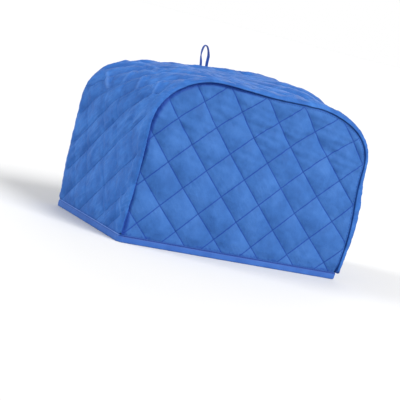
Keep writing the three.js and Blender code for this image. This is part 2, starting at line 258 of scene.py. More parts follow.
def sway(z):
    """How far the stitching is drawn to the right at height z: 5.5 mm at the crown, where the cloth was
    eased round the arch, and 3.3 mm the other way halfway up."""
    return SWAY_CROWN * smooth((z - 150) / 45) - SWAY_MIDDLE * np.sin(math.pi * np.clip((z - 15) / 150, 0, 1))


def panel_face(x, z, facing):
    """The outer and inner faces of a panel over (x, z), their place in the stitching, and their marks.
    The face dips towards the seam over its last 5 mm, with gathers across it that are noise along the
    seam times exp(-distance in / 6.5), fullest round the shoulders. Long drags 6.5 mm apart lie over
    the upper half, and right of the middle the face is pushed out along the seam, by up to 2.6 mm. The
    back panel is the same cloth turned round, so its pattern is read at -x."""
    own_x = -facing * x
    height, a, b, pillow = quilted(own_x - sway(z), z, PANEL_QUILT, 11 if facing < 0 else 51)
    inwards, run = to_seam(x, z)
    inwards = inwards - PANEL_EDGE
    loft = loft_at(z)
    full = 0.45 + 0.75 * smooth((z - 95) / 40) * smooth((np.abs(x) - 45) / 30)
    gathers = ripple(run / GATHER_SHORT, inwards / 22 + 3 * facing, 21)
    gathers = gathers + 0.6 * ripple(run / GATHER_LONG, inwards / 30 + 5 * facing, 22)
    gathers = full * gathers * np.exp(-np.maximum(inwards, 0) / GATHER_FADE) * smooth(inwards / 2)
    drags = ripple(own_x / 34 + 7, (z + 0.18 * own_x) / DRAG_APART, 24) * smooth((z - 70) / 80)
    height = height + DRAG_HIGH * drags
    lifted = CLOTH / 2 + (height * (0.45 + 0.55 * smooth(inwards / 14)) + gathers) * loft
    edge = smooth(inwards / SEAM_DIP)
    outer = -0.3 + (lifted + 0.3) * edge
    inner = -CLOTH / 2 - PUFF_IN * pillow * loft * edge - 0.5 * (1 - edge)
    on_left = smooth((30 - own_x) / 90)
    along_seam = np.exp(-((inwards / FULLER_REACH) ** 2))
    fuller = SEAM_FULLER * (1 - on_left) * along_seam * smooth((z - HEM_HIGH) / LOFT_FADE)
    level_y = DEPTH / 2 - PANEL_INSET + fuller
    faces = [drape(np.stack([x, facing * (level_y + off), z], -1)) for off in (outer, inner)]
    marks = panel_marks(own_x, z, inwards, 0.8 * ripple(run / 5, 2.5 + facing, 23), on_left)
    return faces[0], faces[1], np.stack([a, b], -1), marks


def panel_marks(own_x, z, inwards, uneven, on_left):
    """How much of the stitch lines shows, and how much painted shade a point gets in and beside a seam,
    which is 1 - smooth((distance in / width) squared), stronger on the left. The width is uneven along the
    seam and largest on the left, at the shoulder and in the low corner. Painted shade also lies in a thin
    line along the hem's edge and in short dashes over it, the shade of the dents of its stitching."""
    low_corner = (1 - smooth((z - 12) / 55)) * smooth(-own_x / 100)
    left_shoulder = on_left * np.exp(-(((z - 150) / 42) ** 2))
    wide = SEAM_DARK + DARK_LEFT * on_left + 0.7 * uneven
    wide = wide + DARK_CORNER * low_corner + DARK_SHOULDER * left_shoulder
    # painted shade in and beside the seam, where the roll shades the panel, stronger on the left
    seam_shade = 1 - smooth((np.maximum(inwards - 0.4, 0) / wide) ** 2)
    seam_shade = seam_shade * (0.4 + 0.6 * on_left)
    # painted shade along the hem's edge and in the dents of its stitching
    dent_shade = smooth(1.6 * ripple(own_x / 2.6, z / 4 + 9, 25)) * np.exp(-(((z - HEM_HIGH - 1.6) / 1.3) ** 2))
    hem_edge_shade = np.maximum(0.3 * (1 - smooth((z - HEM_HIGH - 0.3) / 1.4)), 0.75 * dent_shade)
    return {"sewn": smooth((inwards - 0.5) / 2), "painted_shade": np.maximum(seam_shade, hem_edge_shade)}


def add_mesh(name, points, faces, pattern=None, marks=None):
    """A mesh of points in millimetres; faces are turned round where the form would enclose less than
    nothing. pattern is kept as the UV map, one pair for each point, and each of marks as an attribute."""
    corners = np.asarray(points, float)
    p = corners[np.array([f for f in faces if len(f) == 4])]
    enclosed = (p[:, 0] * np.cross(p[:, 1], p[:, 2]) + p[:, 0] * np.cross(p[:, 2], p[:, 3])).sum()
    if enclosed < 0:
        faces = [f[::-1] for f in faces]
    mesh = bpy.data.meshes.new(name)
    mesh.from_pydata((corners * MM).tolist(), [], faces)
    mesh.shade_smooth()
    if pattern is not None:
        order = np.zeros(len(mesh.loops), np.int32)
        mesh.loops.foreach_get("vertex_index", order)
        layer = mesh.uv_layers.new(name="pattern")
        layer.data.foreach_set("uv", np.asarray(pattern, np.float32)[order].ravel())
    for mark, values in (marks or {}).items():
        layer = mesh.attributes.new(mark, "FLOAT", "POINT")
        layer.data.foreach_set("value", np.asarray(values, np.float32).ravel())
    piece = bpy.data.objects.new(name, mesh)
    bpy.context.scene.collection.objects.link(piece)
    return piece


def shell(name, outer, inner, pattern, marks):
    """A closed shell of cloth from two grids of points: both grids' squares, and a rim that joins them
    round all four edges."""
    rows, columns = outer.shape[:2]
    number = np.arange(rows * columns).reshape(rows, columns)
    face = np.stack([number[:-1, :-1], number[1:, :-1], number[1:, 1:], number[:-1, 1:]], -1).reshape(-1, 4)
    ring = np.concatenate([number[0, :-1], number[:-1, -1], number[-1, :0:-1], number[:0:-1, 0]])
    after = np.roll(ring, -1)
    back = rows * columns
    rim = np.stack([ring, after, after + back, ring + back], -1)
    faces = np.concatenate([face, face[:, ::-1] + back, rim]).tolist()
    points = np.concatenate([outer.reshape(-1, 3), inner.reshape(-1, 3)])
    flat = pattern.reshape(-1, 2)
    both = {mark: np.concatenate([values.ravel(), values.ravel()]) for mark, values in marks.items()}
    return add_mesh(name, points, faces, np.concatenate([flat, flat]), both)


def panel_piece(name, facing):
    """Columns stand under even steps along the top of the arch, and each runs from inside the hem's
    binding up to the seam."""
    top_x, top_z = on_arch(np.linspace(SIDE, ARCH_LENGTH - SIDE, PANEL_COLUMNS), -PANEL_EDGE)
    share = np.linspace(0, 1, PANEL_ROWS)[:, None]
    z = PANEL_LOW + (top_z[None, :] - PANEL_LOW) * share
    x = np.repeat(top_x[None, :], PANEL_ROWS, axis=0)
    over_hem = smooth((z - HEM_HIGH) / 1.5)
    x = np.clip(x, -WIDTH / 2 + 2 - over_hem, WIDTH / 2 - 2 + over_hem)
    return shell(name, *panel_face(x, z, facing))


def colour(code):
    """An sRGB hex code as linear red, green, blue and full alpha."""
    parts = [int(code[k : k + 2], 16) / 255 for k in (1, 3, 5)]
    return tuple(c / 12.92 if c <= 0.04045 else ((c + 0.055) / 1.055) ** 2.4 for c in parts) + (1.0,)


def add_node(tree, kind, sockets=None, **settings):
    """Adds a shader node with its settings. sockets gives each input's value, or the output linked to
    it, or the node whose first output is."""
    made = tree.nodes.new("ShaderNode" + kind)
    for key, value in settings.items():
        setattr(made, key, value)
    for key, value in (sockets or {}).items():
        source = value.outputs[0] if isinstance(value, bpy.types.Node) else value
        if isinstance(source, bpy.types.NodeSocket):
            tree.links.new(source, made.inputs[key])
        else:
            made.inputs[key].default_value = source
    return made


def new_material(name):
    """A material, its nodes and its shader."""
    material = bpy.data.materials.new(name)
    material.use_nodes = True
    return material, material.node_tree, material.node_tree.nodes["Principled BSDF"]


LINES_APART = 35
BLOTCH_WIDE, BLOTCH_SMALL, CRUMPLE = 0.030, 0.010, 0.0045  # in metres
TONE_DARK, TONE_MID, TONE_LIGHT = 0.38, 0.5, 0.64
# the darker tone mixed along a stitch line: partly the thread's colour, partly painted shade of the pressed
# groove
LINE_CORE, LINE_EDGE, LINE_SHOWS = 0.006, 0.027, 0.9  # the first two in shares of LINES_APART
# the colour of the painted shade in seams, along the hem's edge and in its dents, and how much of it shows
SEAM_SHADE_TONE, SEAM_SHADE_SHOWS = "#1b3c90", 0.92
CREASE_APART, CREASE_LONG, CREASE_SHARP, CREASE_RISE = 7, 50, 3.0, 1.6
# the colour of the painted highlight on the sharp creases and the folds, and how much of it shows
LIT_TONE, LIT_SHOWS = "#5c8ad0", 0.45
WEAVE_APART, WEAVE_RISE = 0.9, 0.03
BOW_RISE, BOW_LESS, BOW_SECOND = 3.0, 1.1, 2.0  # of the 0.9 mm that a height of 1 stands for


def blotches(tree, place, across, detail, roughness):
    """Noise of the given width in metres over the cloth."""
    return add_node(tree, "TexNoise", {
        "Vector": place, "Scale": 1 / across, "Detail": detail, "Roughness": roughness})


def stitch_lines(tree, parts, faint):
    """How far off the next stitch line of each family is, in shares of the 35 mm between two lines, and
    how much of a line's darker tone shows: nine tenths on the line, nothing 1 mm off, and less in the
    second family. That tone is partly the thread's colour and partly painted shade of the pressed groove."""
    offs, pressed = [], []
    for axis, strength in (("X", 1.0), ("Y", faint)):
        offs.append(add_node(tree, "Math", {0: parts.outputs[axis], 1: 0.5}, operation="PINGPONG"))
        pressed.append(add_node(tree, "MapRange", {
            "Value": offs[-1], "From Min": LINE_CORE, "From Max": LINE_EDGE,
            "To Min": LINE_SHOWS * strength, "To Max": 0.0,
        }, interpolation_type="SMOOTHSTEP"))
    # the stronger of the two lines' darker tone, partly thread colour and partly painted shade of the groove
    line_shade_and_thread = add_node(tree, "Math", {0: pressed[0], 1: pressed[1]}, operation="MAXIMUM")
    sewn = add_node(tree, "Attribute", attribute_name="sewn").outputs["Fac"]
    return offs, add_node(tree, "Math", {0: line_shade_and_thread, 1: sewn}, operation="MULTIPLY")


def drag_creases(tree, uv, where, creased):
    """Sharp creases 7 mm apart and about 50 mm long, along the first family of lines: ridged noise to
    the third power, in the blotches where it is creased."""
    stretch = (LINES_APART / CREASE_APART, LINES_APART / CREASE_LONG, 1.0)
    drawn = add_node(tree, "VectorMath", {0: uv, 1: stretch}, operation="MULTIPLY")
    ridges = add_node(tree, "TexNoise", {
        "Vector": drawn, "Scale": 1.0, "Detail": 0.0, "Offset": 1.0, "Gain": 0.6,
    }, noise_type="RIDGED_MULTIFRACTAL")
    ridges = add_node(tree, "Math", {0: ridges, 1: CREASE_SHARP}, operation="POWER")
    here = add_node(tree, "MapRange", {"Value": where, "From Min": 0.44, "From Max": 0.6, "To Max": creased})
    return add_node(tree, "Math", {0: ridges, 1: here}, operation="MULTIPLY")


def cloth_relief(tree, parts, crumples, creases, offs, faint):
    """The height of the fine relief: the weave, the product of two sines, drawn three times as coarse as
    real threads so that it shows; crumples; the sharp creases; and between the lines half a sine, so
    that the puffs look rounder than their mesh, by about 3 mm in the middle of a diamond."""
    weave = []
    for axis in ("X", "Y"):
        wave = add_node(tree, "Math", {
            0: parts.outputs[axis], 1: LINES_APART / WEAVE_APART * 2 * math.pi}, operation="MULTIPLY")
        weave.append(add_node(tree, "Math", {0: wave}, operation="SINE"))
    threads = add_node(tree, "Math", {0: weave[0], 1: weave[1]}, operation="MULTIPLY")
    relief = add_node(tree, "Math", {0: threads, 1: WEAVE_RISE, 2: crumples}, operation="MULTIPLY_ADD")
    relief = add_node(tree, "Math", {0: creases, 1: CREASE_RISE, 2: relief}, operation="MULTIPLY_ADD")
    for off, rise in ((offs[0], BOW_RISE - BOW_LESS * faint), (offs[1], BOW_SECOND * faint)):
        bow = add_node(tree, "Math", {0: off, 1: math.pi}, operation="MULTIPLY")
        bow = add_node(tree, "Math", {0: bow}, operation="SINE")
        relief = add_node(tree, "Math", {0: bow, 1: rise, 2: relief}, operation="MULTIPLY_ADD")
    return relief


def tone_ramp(tree, factor, dark, light):
    """Two tones, blended over the middle of the noise's range."""
    ramp = add_node(tree, "ValToRGB", {"Fac": factor})
    first, last = ramp.color_ramp.elements
    first.position, first.color = TONE_DARK, colour(dark)
    last.position, last.color = TONE_LIGHT, colour(light)
    return ramp


def tinted(tree, base, tints):
    """The base colour with each tint mixed over it by its share, in turn."""
    for share, tint in tints:
        mixed = add_node(tree, "Mix", {"Factor": share, "A": base, "B": colour(tint)}, data_type="RGBA")
        base = mixed.outputs["Result"]
    return base


def quilted_satin(name, dark, mid, light, line, creased, faint=1.0):
    """Polyester satin, woven of fine bright filament: a soft broad gloss, with blotches of tone one and
    three centimetres across. The stitch lines are pressed in, and a darker tone is mixed along them,
    partly the thread's colour and partly painted shade of the groove, those of the second family as
    faint as given; painted shade also darkens the cloth in a seam. Sharp drag creases, as many as
    creased gives, and the folds pressed in by hand get a painted highlight as well as their relief."""
    material, tree, shader = new_material(name)
    place = add_node(tree, "TexCoord").outputs["Object"]
    uv = add_node(tree, "UVMap", uv_map="pattern")
    wide = blotches(tree, place, BLOTCH_WIDE, 2.0, 0.5)
    small = blotches(tree, place, BLOTCH_SMALL, 3.0, 0.55)
    tone = add_node(tree, "Math", {0: wide, 1: 0.5}, operation="MULTIPLY")
    tone = add_node(tree, "Math", {0: small, 1: 0.5, 2: tone}, operation="MULTIPLY_ADD")
    ramp = tone_ramp(tree, tone, dark, light)
    ramp.color_ramp.elements.new(TONE_MID).color = colour(mid)

    parts = add_node(tree, "SeparateXYZ", {"Vector": uv})
    offs, lines = stitch_lines(tree, parts, faint)
    # painted shade in the seams, along the hem's edge and in the dents of its stitching
    shade_attribute = add_node(tree, "Attribute", attribute_name="painted_shade").outputs["Fac"]
    shade_share = add_node(tree, "Math", {0: shade_attribute, 1: SEAM_SHADE_SHOWS}, operation="MULTIPLY")
    creases = drag_creases(tree, uv, wide, creased)
    # a painted highlight on the sharp creases and on the folds
    fold_highlight = add_node(tree, "Attribute", attribute_name="fold_highlight").outputs["Fac"]
    lit = add_node(tree, "Math", {0: creases, 1: fold_highlight}, operation="MAXIMUM")
    lit = add_node(tree, "Math", {0: lit, 1: LIT_SHOWS}, operation="MULTIPLY", use_clamp=True)
    base = tinted(tree, ramp.outputs[0], ((lines, line), (shade_share, SEAM_SHADE_TONE), (lit, LIT_TONE)))
    tree.links.new(base, shader.inputs["Base Color"])

    crumples = blotches(tree, place, CRUMPLE, 3.0, 0.6)
    relief = cloth_relief(tree, parts, crumples, creases, offs, faint)
    bump = add_node(tree, "Bump", {"Height": relief, "Strength": 0.8, "Distance": 0.0009})
    tree.links.new(bump.outputs[0], shader.inputs["Normal"])
    gloss = add_node(tree, "MapRange", {"Value": small, "To Min": 0.5, "To Max": 0.7})
    tree.links.new(gloss.outputs[0], shader.inputs["Roughness"])
    shader.inputs["IOR"].default_value = 1.5
    shader.inputs["Specular IOR Level"].default_value = 0.12
    shader.inputs["Sheen Weight"].default_value = 0.02
    shader.inputs["Sheen Roughness"].default_value = 0.4
    shader.inputs["Sheen Tint"].default_value = colour("#b8c8f0")
    return material


# the fourth colour is the darker tone along the stitch lines: the thread's colour and painted shade of the
# groove
satin = quilted_satin("quilted_polyester_satin", "#2e5a9b", "#3361a4", "#3a68ab", "#173a8e", 0.1)
front_cloth = panel_piece("front_panel_cloth", -1)
front_cloth.data.materials.append(satin)
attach(front_cloth, "root")
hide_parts("front_panel")

# The back panel: a second panel, cut and quilted like the front one and turned round, with puffs
# of its own. It is sewn to the gusset's other edge.
back_cloth = panel_piece("back_panel_cloth", 1)
back_cloth.data.materials.append(satin)
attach(back_cloth, "root")
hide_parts("back_panel")

# The gusset: one long strip of the same quilted satin, up the left end, over the top and down
# the right end. Its long edges are folded over at the seams into soft rolls that stand proud.
# Soft creases lie over it from where it was folded.
GUSSET_QUILT = (
    (100.7, 104.6), (49.5, -17.0), (0.0, 45.0),
    np.array([-0.26, -0.1, 0.17, 0.23, 0.16, 0.16, 0.1, 0]),
    np.array([0, 0.1, -0.1, 0.05, -0.14, -0.24, -0.15, 0]),
)
GUSSET_LOW, GUSSET_STEPS, ROUND_STEPS, FLAT_STEPS = 2.5, 345, 15, 57
FAINT = 0.22
ROLL_WIDE, ROLL_RISE, ROLL_FALL, ROLL_GATHERS, ROLL_PUCKERS = 8.0, 4.8, 15.0, 0.6, 0.55
HEM_SHARE, HEM_FADE = 0.42, 60.0
LEFT_FALL, LEFT_UNTIL, LEFT_FADE = 1.6, 240, 120
RIGHT_HEM_SHARE, RIGHT_LAST, RIGHT_FADE = 0.95, 150, 60
RIGHT_SWELL, SWELL_AT, SWELL_REACH = 4.2, 95, 50
RIGHT_DROOP, DROOP_AT, DROOP_REACH = 3.0, 11, 4.5
CALM_FROM, CALM_FADE = 3.5, 7
HEM_PART, HEM_PART_FADE, CROWN_PART, CROWN_PART_FADE = 50, 45, 175, 45
# how far in from the strip's edge the hem holds its folded edge and its cloth, and the inner face
TUCKED_EDGE, TUCKED_CLOTH, INNER_EDGE, INNER_CLOTH = 7.5, 7.6, 4.6, 8
CREASES_HIGH, FOLDS_HIGH = 1.35, 1.2

WRINKLES = {  # how high, which way in radians, how long, how wide, and their random draw
    "ends": ((0.55, -0.9, 26, 3.4, 72), (0.3, -0.75, 30, 5.5, 73)),
    "hem": ((0.34, -0.4, 22, 3.4, 77),),
    "crown": ((0.5, 0.08, 40, 5.0, 74), (0.25, -0.2, 26, 3.2, 75)),
    "seams": ((0.5, 0.6, 13, 3.0, 76),),
}
FOLDS = (  # from (length up the strip, way back) to the same, how wide, how high
    ((174, 165), (157, 135), 3.2, 1.3),
    ((172, 173), (154, 143), 3.0, -0.9),
    ((72, 181), (86, 166), 2.4, 0.7),
    ((62, 177), (74, 166), 2.4, 0.7),
    ((68, 124), (85, 118), 2.4, 0.6),
    ((72, 130), (89, 114), 2.4, 0.7),
    ((104, 98), (122, 78), 2.6, 0.8),
    ((100, 104), (122, 86), 2.6, -0.7),
    ((118, 71), (137, 46), 2.4, 0.9),
    ((114, 63), (128, 48), 2.4, 0.8),
    ((120, 60), (136, 38), 2.4, -0.7),
    ((142, 50), (160, 30), 2.4, 0.9),
    ((146, 55), (162, 39), 2.4, -0.7),
    ((100, 64), (116, 46), 2.6, 0.8),
    ((131, 35), (147, 18), 2.8, 1.0),
    ((166, 29), (188, 40), 2.4, 1.0),
    ((173, 38), (186, 48), 2.4, 0.9),
    ((173, 18), (189, 16), 2.4, 0.9),
    ((177, 45), (184, 52), 2.4, -0.9),
    ((166, 22), (184, 28), 2.4, -0.8),
    ((48, 22), (30, 10), 2.2, 1.0),
    ((170, 114), (191, 125), 3.2, 0.9),
    ((166, 71), (188, 87), 3.2, 0.9),
    ((70, 92), (50, 76), 2.4, 0.6),
    ((50, 72), (26, 48), 2.2, -0.6),
    ((53, 173), (40, 160), 2.4, 0.6),
    ((206, 190), (216, 162), 3.4, 0.9),
    ((216, 162), (209, 102), 3.6, 0.9),
    ((196, 96), (200, 67), 3.2, 0.9),
    ((200, 67), (217, 58), 3.2, 0.8),
    ((210, 149), (200, 82), 3.4, -0.8),
)


def wrinkles(where, p, q):
    """The sum over that place's rows of high times noise drawn out along one way: p and q are turned by
    the way, then divided by how long and by how wide."""
    total = 0
    for high, way, long, wide, seed in WRINKLES[where]:
        along = p * math.cos(way) + q * math.sin(way)
        across = q * math.cos(way) - p * math.sin(way)
        total = total + high * ripple(along / long, across / wide, seed)
    return total


def folded_by_hand(s, y):
    """The sum over the folds of high times exp(-(distance from the fold's line / wide) squared), each
    fading out over the last tenth of its length and a third beyond it."""
    total = 0 * s
    for (s0, y0), (s1, y1), wide, high in FOLDS:
        long = math.hypot(s1 - s0, y1 - y0)
        along = ((s - s0) * (s1 - s0) + (y - y0) * (y1 - y0)) / long**2
        across = ((s - s0) * (y1 - y0) - (y - y0) * (s1 - s0)) / long
        ends = smooth((along + 0.3) / 0.4) * smooth((1.3 - along) / 0.4)
        total = total + high * np.exp(-((across / wide) ** 2)) * ends
    return total


def gusset_creases(s, y):
    """Fine drag wrinkles and the folds made by hand. On the ends the wrinkles run with the stitch lines,
    up and to the front, in patches, and are steeper near the hem; on the crown they lie along the strip;
    beside both seams short gathers run off the roll."""
    up = np.minimum(s, ARCH_LENGTH - s)
    on_crown = smooth((up - CROWN_PART) / CROWN_PART_FADE)
    low = 1 - smooth((up - HEM_PART) / HEM_PART_FADE)
    patches = smooth(0.5 + ripple(s / 38, y / 38, 71))
    on_ends = (1 - low) * wrinkles("ends", up, y) + low * wrinkles("hem", up, y)
    lines = (1 - on_crown) * on_ends * (0.4 + 0.6 * patches) + on_crown * wrinkles("crown", s, y)
    from_edge = np.minimum(y, DEPTH - y)
    gathers = wrinkles("seams", s, from_edge) * np.exp(-np.maximum(from_edge - 6, 0) / 8)
    drawn = 1 + 0.8 * np.exp(-(((up - 150) / 45) ** 2))
    return lines * drawn + gathers * (0.5 + on_crown) + FOLDS_HIGH * folded_by_hand(s, y)


def roll_size(s):
    """How big a roll is at length s, as a share of its full size and a height, with the height over the
    hem and how far on the right end it is. A roll is 0.42 of full size at the hem, lower on the left
    end, and fuller low on the right end, where the strip has swelled over the seam."""
    level_z = on_arch(s, 0)[1]
    right = smooth((s - ARCH_LENGTH + RIGHT_LAST) / RIGHT_FADE)
    share = HEM_SHARE + (RIGHT_HEM_SHARE - HEM_SHARE) * right
    size = share + (1 - share) * smooth((level_z - HEM_HIGH) / HEM_FADE)
    low_left = LEFT_FALL * (1 - smooth((s - LEFT_UNTIL) / LEFT_FADE))
    swell = RIGHT_SWELL * right * np.exp(-(((level_z - SWELL_AT) / SWELL_REACH) ** 2))
    return size, ROLL_RISE - low_left + swell, level_z, right


def out_of_hem(z):
    """0 inside the hem's binding, and 1 from 2 mm over it, where the strip is free."""
    return smooth((z - HEM_HIGH - 0.1) / 1.8)


def roll_gathers(s, e):
    """Short gathers across a roll, every 3.4 mm or so, and slow lumps along it."""
    side = np.where(e < DEPTH / 2, 0, 40)
    return 0.8 * ripple(s / 3.4, e / 9 + side, 81) + 0.9 * ripple(s / 9.5, e / 30 + side, 82)


def gusset_face(s, e):
    """The outer face of the strip, from the top of one roll to the other, with its pillows and its loft:
    e is the distance from the front edge. It falls from the roll's top to the flat cloth by half a
    cosine over 15 mm, and the quilting begins where it falls."""
    height, _, _, pillow = quilted(
        s, e, GUSSET_QUILT, 31, fullness=(0.66, 0.6), pucker=0.75, waves=0.7, faint=FAINT)
    from_edge = np.minimum(e, DEPTH - e)
    rolled, rise, level_z, _ = roll_size(s)
    free = out_of_hem(level_z)
    fall = 0.5 + 0.5 * np.cos(math.pi * np.clip((from_edge - ROLL_WIDE / 2) / ROLL_FALL, 0, 1))
    calm = smooth((from_edge - CALM_FROM) / CALM_FADE)
    base = CLOTH / 2 + (rise * rolled - CLOTH / 2) * fall * free
    loft = loft_at(level_z)
    quilting = (height + CREASES_HIGH * gusset_creases(s, e)) * calm * loft
    n = base + quilting + ROLL_GATHERS * (1 - calm) * free * roll_gathers(s, e)
    return n, pillow, loft


def gusset_half(s, to_back):
    """One half of the strip's section, from its seam round the roll to the middle, as its outer and
    inner faces, place in the stitching and marks. The roll's front is a half round of two radii about
    a point 4 mm in: 4 mm across, 4.8 mm out and 0.7 mm in. In the hem's binding the section is drawn
    in to a thin edge, and low on the right end the roll droops over the binding by up to 3 mm."""
    around = np.linspace(-math.pi / 2, math.pi / 2, ROUND_STEPS)[None, :-1]
    flat = np.linspace(ROLL_WIDE / 2, DEPTH / 2, FLAT_STEPS)[None, :]
    s_lip = np.broadcast_to(s, (len(s), ROUND_STEPS - 1))
    s_flat = np.broadcast_to(s, (len(s), FLAT_STEPS))
    rolled, rise, level_z, _ = roll_size(s_lip)
    free = out_of_hem(level_z)
    e_round = ROLL_WIDE / 2 * (1 - np.cos(around) * rolled)
    n_round = np.where(np.sin(around) > 0, rise * np.sin(around), CLOTH / 2 * np.sin(around)) * rolled
    mirror = (lambda e: DEPTH - e) if to_back else (lambda e: e)
    puckers = ROLL_PUCKERS * roll_gathers(s_lip, mirror(e_round)) * smooth((around + 1.2) / 0.8)
    e_round, n_round = e_round - puckers * np.cos(around), n_round + puckers * np.sin(around)
    e_lip = TUCKED_EDGE + (e_round - TUCKED_EDGE) * free
    n_lip = HEM_TIGHT * np.sin(around) + (n_round - HEM_TIGHT * np.sin(around)) * free
    e_flat = TUCKED_CLOTH + (flat - TUCKED_CLOTH) * np.maximum(free[:, :1], smooth((flat - 4) / 12))
    n_flat, pillow, loft = gusset_face(s_flat, mirror(e_flat))
    e_out, n_out = np.concatenate([e_lip, e_flat], 1), np.concatenate([n_lip, n_flat], 1)
    inner_lip = np.linspace(INNER_EDGE, INNER_CLOTH, ROUND_STEPS - 1)[None, :] + 0 * s
    e_in = np.concatenate([inner_lip, np.maximum(e_flat, INNER_CLOTH + 0.05)], 1)
    e_in = np.maximum(e_in, TUCKED_EDGE - 3.0 * free[:, :1])
    into = PUFF_IN * pillow * loft * smooth((e_flat - INNER_CLOTH) / 6)
    sunk = np.concatenate([np.zeros_like(e_lip), into], 1)
    n_in = -CLOTH / 2 - 0.02 - sunk
    s_all = np.broadcast_to(s, e_out.shape)
    a_all, b_all = diamonds(s_all, mirror(e_out), GUSSET_QUILT)[:2]
    level_all, right_all = on_arch(s_all, 0)[1], roll_size(s_all)[3]
    droop = RIGHT_DROOP * right_all * smooth((n_out - 2.6) / 1.4)
    droop = droop * np.exp(-(((level_all - DROOP_AT) / DROOP_REACH) ** 2))
    faces = []
    for e, n, lower in ((e_out, n_out, droop), (e_in, n_in, 0)):
        x, z = on_arch(s_all, n)
        faces.append(np.stack([x, mirror(e) - DEPTH / 2, z - lower], -1))
    # painted shade on the roll's underside in the seam and along the hem's edge, and a painted highlight on
    # the folds
    painted_seam_shade = np.concatenate([0.5 * (1 - smooth((around + 1.25) / 0.6)) + 0 * s, np.zeros_like(n_flat)], 1)
    hem_edge_shade = 0.75 * (1 - smooth((level_all - HEM_HIGH - 0.3) / 1.4))
    sewn = smooth((e_out - 9) / 5)
    fold_highlight = np.clip(folded_by_hand(s_all, mirror(e_out)), 0, 1) ** 2.5
    return faces[0], faces[1], np.stack([a_all, b_all], -1), sewn, np.maximum(painted_seam_shade, hem_edge_shade), fold_highlight


def strip_piece():
    """The two halves of the section are laid side by side and carried along the whole arch."""
    s = np.linspace(GUSSET_LOW, ARCH_LENGTH - GUSSET_LOW, GUSSET_STEPS)[:, None]
    front, back = gusset_half(s, False), gusset_half(s, True)
    joined = [np.concatenate([f, b[:, -2::-1]], 1) for f, b in zip(front, back)]
    outer, inner, pattern, sewn, painted_seam_shade, fold_highlight = joined
    # the stitch lines' share, the painted shade and the painted highlight
    marks = {"sewn": sewn, "painted_shade": painted_seam_shade, "fold_highlight": fold_highlight}
    return shell("gusset_cloth", drape(outer), drape(inner), pattern, marks)


gusset_cloth = strip_piece()
# the fourth colour is the darker tone along the stitch lines: the thread's colour and painted shade of the
# groove
gusset_cloth.data.materials.append(quilted_satin(
    "quilted_polyester_satin_bias", "#2a59a0", "#2f62ab", "#386eb8", "#1c4a90", 0.34, FAINT))
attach(gusset_cloth, "root")
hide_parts("gusset")

# The quilting thread: polyester, lockstitched about every 3.5 mm along each line of a diamond,
# sunk in the pressed line. Another row holds each panel's edge down beside its seam.
STITCH_PITCH, STITCH_LONG, STITCH_LIFT, THREAD = 3.5, 2.5, 0.16, 0.26
STITCH_BELLY = (0.22, 0.78)
LOWEST_STITCH, EDGE_ROW, FREE_OF_SEAM, FREE_OF_ROLL = 13.0, 2.4, 4, 9
THREAD_BLOTCHES = 400.0  # to the metre


def spindles(name, starts, ends, out, thick):
    """Stitches as small spindles: a point at each end, sunk by four fifths of the thread's radius, and
    two rings of four between them, near a quarter in from the ends."""
    along = (ends - starts) / np.linalg.norm(ends - starts, axis=1, keepdims=True)
    beside = np.cross(along, out)
    beside /= np.linalg.norm(beside, axis=1, keepdims=True)
    over = np.cross(beside, along)
    rings = []
    for share in STITCH_BELLY:
        middle = starts + (ends - starts) * share
        for w in np.arange(4) * math.pi / 2:
            rings.append(middle + thick * (beside * math.cos(w) + over * math.sin(w)))
    points = np.stack([starts - over * thick * 0.8, *rings, ends - over * thick * 0.8], 1)
    belly = [[1 + k, 1 + (k + 1) % 4, 5 + (k + 1) % 4, 5 + k] for k in range(4)]
    tips = [[0, 1 + (k + 1) % 4, 1 + k] for k in range(4)] + [[9, 5 + k, 5 + (k + 1) % 4] for k in range(4)]
    first = np.arange(len(starts))[:, None, None] * points.shape[1]
    faces = (np.array(belly)[None] + first).reshape(-1, 4).tolist()
    faces += (np.array(tips)[None] + first).reshape(-1, 3).tolist()
    return add_mesh(name, points.reshape(-1, 3), faces)


def stitch_places(quilt, a_range, b_range):
    """Starts and ends of all stitches on both families of lines, in the pattern. Each line's stitches
    begin 0.31 of a stitch further on than those of the line before."""
    apart = diamonds(0.0, 0.0, quilt)[2:]
    places = []
    for family, (lines, run) in enumerate(((a_range, b_range), (b_range, a_range))):
        step = STITCH_PITCH / apart[1 - family]
        line, at = np.meshgrid(np.arange(*lines), np.arange(run[0], run[1], step), indexing="ij")
        at = at + 0.31 * step * line
        both_ends = [(line, at), (line, at + step * STITCH_LONG / STITCH_PITCH)]
        if family == 1:
            both_ends = [place[::-1] for place in both_ends]
        places.append([in_pattern(*place, quilt) for place in both_ends])
    return [np.concatenate([np.ravel(pair[k][axis]) for pair in places]) for k in (0, 1) for axis in (0, 1)]


def panel_thread(name, facing):
    """Stitches of a panel, kept 4 mm inside the arch and above the hem's own stitching, and a row that
    holds the panel's edge down, 2.4 mm in from it."""
    x0, z0, x1, z1 = stitch_places(PANEL_QUILT, (-7, 12), (-6, 13))
    x0, x1 = x0 + sway(z0), x1 + sway(z1)
    inside = (np.abs(x0) < WIDTH / 2 - FREE_OF_SEAM) & (z0 < HEIGHT - 3)
    inside &= np.minimum(z0, z1) > LOWEST_STITCH
    inside &= (to_seam(x0, z0)[0] > FREE_OF_SEAM) & (to_seam(x1, z1)[0] > FREE_OF_SEAM)
    edge_s = np.arange(14.0, ARCH_LENGTH - 16, STITCH_PITCH)
    rows = []
    for x, z, s in ((x0, z0, edge_s), (x1, z1, edge_s + STITCH_LONG)):
        edge_x, edge_z = on_arch(s, -PANEL_EDGE - EDGE_ROW)
        rows.append((np.concatenate([x[inside], edge_x]), np.concatenate([z[inside], edge_z])))
    ends = [panel_face(-facing * x, z, facing)[0] for x, z in rows]
    way_out = np.broadcast_to([0.0, facing, 0.0], ends[0].shape)
    lift = STITCH_LIFT * way_out
    return spindles(name, ends[0] + lift, ends[1] + lift, way_out, THREAD)


